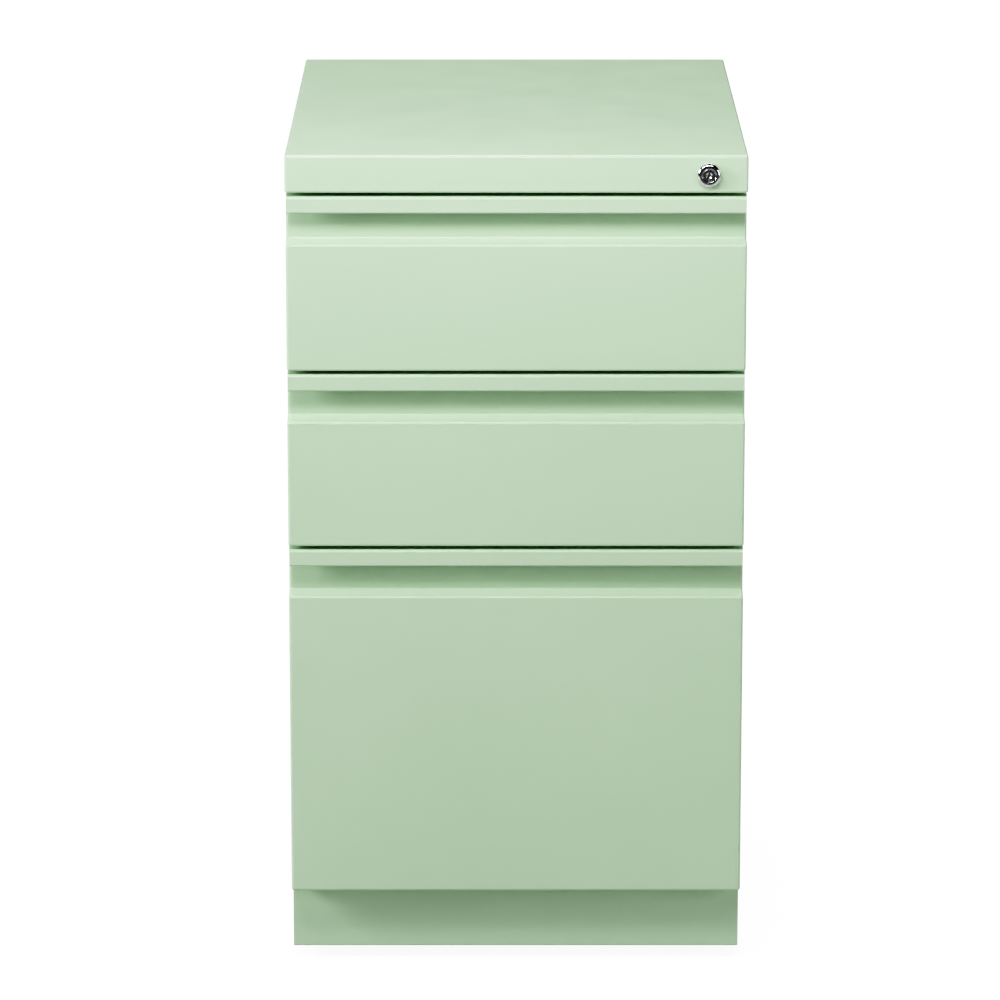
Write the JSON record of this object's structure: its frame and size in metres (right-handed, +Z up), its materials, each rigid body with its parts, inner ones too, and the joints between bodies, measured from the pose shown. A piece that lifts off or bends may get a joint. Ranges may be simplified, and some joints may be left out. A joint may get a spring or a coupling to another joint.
{
  "type": "mobile pedestal filing cabinet",
  "caption": "Mobile steel filing pedestal with two box drawers over a file drawer, full-width folded pulls, a top lock and hidden casters",
  "frame": {"origin": "on the floor, under the middle of the cabinet's box, lock face to back panel", "axes": "+X to the right seen from the front, -Y towards the user, +Z up"},
  "size_m": [0.381, 0.51, 0.7],
  "materials": {
    "paint": "sage-green powder coat, satin, very fine orange peel",
    "zinc": "bright zinc plate, slightly mottled",
    "chrome": "polished chrome plate",
    "nylon": "moulded black nylon",
    "tread": "dark grey moulded wheel with a satin tread",
    "rubber": "dull grey rubber",
    "iron": "dark mill scale"
  },
  "bodies": {
    "cabinet": {"top_panel": "paint", "left_side_panel": "paint", "right_side_panel": "paint", "back_panel": "paint", "back_panel_rivets": "zinc", "base_pan": "paint", "plinth_panel": "paint", "lock_rail": "paint", "left_uprights": "zinc", "right_uprights": "zinc", "drawer_bumpers": "rubber", "caster_channels": "zinc", "counterweight": "iron", "base_bolts": "zinc", "caster_plates": "zinc", "lock_barrel": "chrome", "lock_nut": "zinc", "lock_bar_guides": "nylon", "top_slide_outers": "zinc", "middle_slide_outers": "zinc", "file_slide_outers": "zinc"},
    "lock": {"lock_plug": "chrome", "lock_cam": "zinc"},
    "lock_bar": {"lock_bar": "zinc"},
    "top_drawer": {"top_drawer_front": "paint", "top_front_liner": "paint", "top_tray": "paint", "top_front_screws": "zinc", "top_lock_catch": "zinc", "top_slide_inners": "zinc"},
    "top_slides": {"top_slide_middles": "zinc"},
    "top_outer_balls": {"top_outer_cages": "nylon"},
    "top_inner_balls": {"top_inner_cages": "nylon"},
    "middle_drawer": {"middle_drawer_front": "paint", "middle_front_liner": "paint", "middle_tray": "paint", "middle_front_screws": "zinc", "middle_lock_catch": "zinc", "middle_slide_inners": "zinc"},
    "middle_slides": {"middle_slide_middles": "zinc"},
    "middle_outer_balls": {"middle_outer_cages": "nylon"},
    "middle_inner_balls": {"middle_inner_cages": "nylon"},
    "file_drawer": {"file_drawer_front": "paint", "file_front_liner": "paint", "file_tray": "paint", "file_front_screws": "zinc", "file_lock_catch": "zinc", "file_slide_inners": "zinc", "hanging_rails": "zinc"},
    "file_slides": {"file_slide_middles": "zinc"},
    "file_outer_balls": {"file_outer_cages": "nylon"},
    "file_inner_balls": {"file_inner_cages": "nylon"},
    "fork_front_left": {"caster_fork_front_left": "zinc"},
    "wheel_front_left": {"caster_wheel_front_left": "tread"},
    "fork_front_right": {"caster_fork_front_right": "zinc"},
    "wheel_front_right": {"caster_wheel_front_right": "tread"},
    "fork_rear_left": {"caster_fork_rear_left": "zinc"},
    "wheel_rear_left": {"caster_wheel_rear_left": "tread"},
    "fork_rear_right": {"caster_fork_rear_right": "zinc"},
    "wheel_rear_right": {"caster_wheel_rear_right": "tread"}
  },
  "joints": [
    {"name": "top_drawer_slide", "type": "slide", "parent": "cabinet", "child": "top_drawer", "axis": [0, -1, 0], "range_m": [0, 0.42]},
    {"name": "top_slides_run", "type": "slide", "parent": "cabinet", "child": "top_slides", "axis": [0, -1, 0], "range_m": [0, 0.21]},
    {"name": "top_outer_balls_run", "type": "slide", "parent": "cabinet", "child": "top_outer_balls", "axis": [0, -1, 0], "range_m": [0, 0.105]},
    {"name": "top_inner_balls_run", "type": "slide", "parent": "cabinet", "child": "top_inner_balls", "axis": [0, -1, 0], "range_m": [0, 0.315]},
    {"name": "middle_drawer_slide", "type": "slide", "parent": "cabinet", "child": "middle_drawer", "axis": [0, -1, 0], "range_m": [0, 0.42]},
    {"name": "middle_slides_run", "type": "slide", "parent": "cabinet", "child": "middle_slides", "axis": [0, -1, 0], "range_m": [0, 0.21]},
    {"name": "middle_outer_balls_run", "type": "slide", "parent": "cabinet", "child": "middle_outer_balls", "axis": [0, -1, 0], "range_m": [0, 0.105]},
    {"name": "middle_inner_balls_run", "type": "slide", "parent": "cabinet", "child": "middle_inner_balls", "axis": [0, -1, 0], "range_m": [0, 0.315]},
    {"name": "file_drawer_slide", "type": "slide", "parent": "cabinet", "child": "file_drawer", "axis": [0, -1, 0], "range_m": [0, 0.42]},
    {"name": "file_slides_run", "type": "slide", "parent": "cabinet", "child": "file_slides", "axis": [0, -1, 0], "range_m": [0, 0.21]},
    {"name": "file_outer_balls_run", "type": "slide", "parent": "cabinet", "child": "file_outer_balls", "axis": [0, -1, 0], "range_m": [0, 0.105]},
    {"name": "file_inner_balls_run", "type": "slide", "parent": "cabinet", "child": "file_inner_balls", "axis": [0, -1, 0], "range_m": [0, 0.315]},
    {"name": "lock_turn", "type": "hinge", "parent": "cabinet", "child": "lock", "pos_m": [0.158, -0.25, 0.684], "axis": [0, -1, 0], "range_deg": [0, 90]},
    {"name": "lock_bar_lift", "type": "slide", "parent": "cabinet", "child": "lock_bar", "axis": [0, 0, 1], "range_m": [0, 0.0113]},
    {"name": "swivel_front_left", "type": "hinge", "parent": "cabinet", "child": "fork_front_left", "pos_m": [-0.148, -0.165, 0.04], "axis": [0, 0, 1], "continuous": true},
    {"name": "roll_front_left", "type": "hinge", "parent": "fork_front_left", "child": "wheel_front_left", "pos_m": [-0.148, -0.151, 0.019], "axis": [1, 0, 0], "continuous": true},
    {"name": "swivel_front_right", "type": "hinge", "parent": "cabinet", "child": "fork_front_right", "pos_m": [0.148, -0.165, 0.04], "axis": [0, 0, 1], "continuous": true},
    {"name": "roll_front_right", "type": "hinge", "parent": "fork_front_right", "child": "wheel_front_right", "pos_m": [0.148, -0.151, 0.019], "axis": [1, 0, 0], "continuous": true},
    {"name": "swivel_rear_left", "type": "hinge", "parent": "cabinet", "child": "fork_rear_left", "pos_m": [-0.148, 0.205, 0.04], "axis": [0, 0, 1], "continuous": true},
    {"name": "roll_rear_left", "type": "hinge", "parent": "fork_rear_left", "child": "wheel_rear_left", "pos_m": [-0.148, 0.219, 0.019], "axis": [1, 0, 0], "continuous": true},
    {"name": "swivel_rear_right", "type": "hinge", "parent": "cabinet", "child": "fork_rear_right", "pos_m": [0.148, 0.205, 0.04], "axis": [0, 0, 1], "continuous": true},
    {"name": "roll_rear_right", "type": "hinge", "parent": "fork_rear_right", "child": "wheel_rear_right", "pos_m": [0.148, 0.219, 0.019], "axis": [1, 0, 0], "continuous": true}
  ],
  "couplings": [
    {"joint": "top_slides_run", "follows": "top_drawer_slide", "ratio": 0.5},
    {"joint": "top_outer_balls_run", "follows": "top_drawer_slide", "ratio": 0.25},
    {"joint": "top_inner_balls_run", "follows": "top_drawer_slide", "ratio": 0.75},
    {"joint": "middle_slides_run", "follows": "middle_drawer_slide", "ratio": 0.5},
    {"joint": "middle_outer_balls_run", "follows": "middle_drawer_slide", "ratio": 0.25},
    {"joint": "middle_inner_balls_run", "follows": "middle_drawer_slide", "ratio": 0.75},
    {"joint": "file_slides_run", "follows": "file_drawer_slide", "ratio": 0.5},
    {"joint": "file_outer_balls_run", "follows": "file_drawer_slide", "ratio": 0.25},
    {"joint": "file_inner_balls_run", "follows": "file_drawer_slide", "ratio": 0.75},
    {"joint": "lock_turn", "follows": "lock_bar_lift", "rad_per_m": 138.84}
  ]
}
